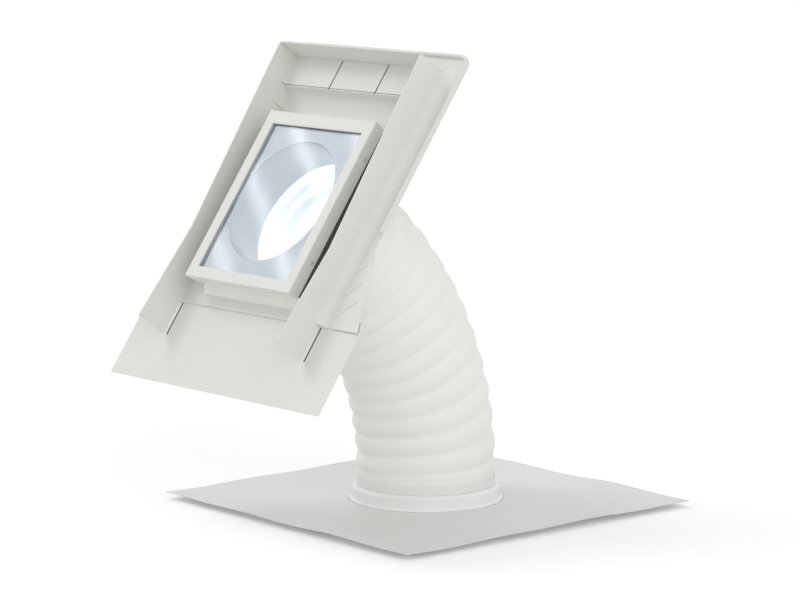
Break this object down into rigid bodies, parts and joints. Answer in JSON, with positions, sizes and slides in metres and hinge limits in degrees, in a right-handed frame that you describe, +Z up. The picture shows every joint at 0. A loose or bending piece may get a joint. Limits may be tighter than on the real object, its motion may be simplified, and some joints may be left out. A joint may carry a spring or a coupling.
{
  "type": "tubular skylight",
  "caption": "Tubular skylight for a pitched roof: flat glass in a flashing, a bent flexible light tube, a vapour film and a ceiling ring with a clear diffuser.",
  "frame": {"origin": "on the ceiling ring's axis, at the top of its flange, where it meets the ceiling's lower face", "axes": "+Z up along the ceiling ring's axis, +X along the eaves, +Y up the roof slope in plan"},
  "size_m": [1, 1.2405, 1.2423],
  "materials": {
    "flashing": "matt grey",
    "apron": "matt, flexible",
    "kerb": "matt",
    "frame": "satin",
    "glass": "clear",
    "rubber": "matt",
    "reflector": "bright",
    "screws": "bright",
    "top_ring": "satin",
    "tube": "satin outside, bright inside",
    "band": "satin",
    "collar": "satin",
    "film": "satin",
    "ring": "satin",
    "foam": "matt",
    "diffuser": "clear"
  },
  "bodies": {
    "root": {"flashing_surround": "flashing", "flashing_pan": "flashing", "apron": "apron", "side_gusset_left": "apron", "side_gusset_right": "apron", "glazing_kerb": "kerb", "glazing_frame": "frame", "glass_pane": "glass", "glazing_gasket": "rubber", "reflector_plate": "reflector", "roof_neck": "reflector", "frame_screws": "screws", "tube_top_ring": "top_ring", "lap_rivets": "screws", "flexible_tube": "tube", "clamp_band": "band", "vapour_collar": "collar", "vapour_sheet": "film", "ceiling_ring": "ring", "diffuser_seal": "foam", "diffuser_pane": "diffuser", "diffuser_inner_pane": "diffuser"}
  },
  "joints": []
}
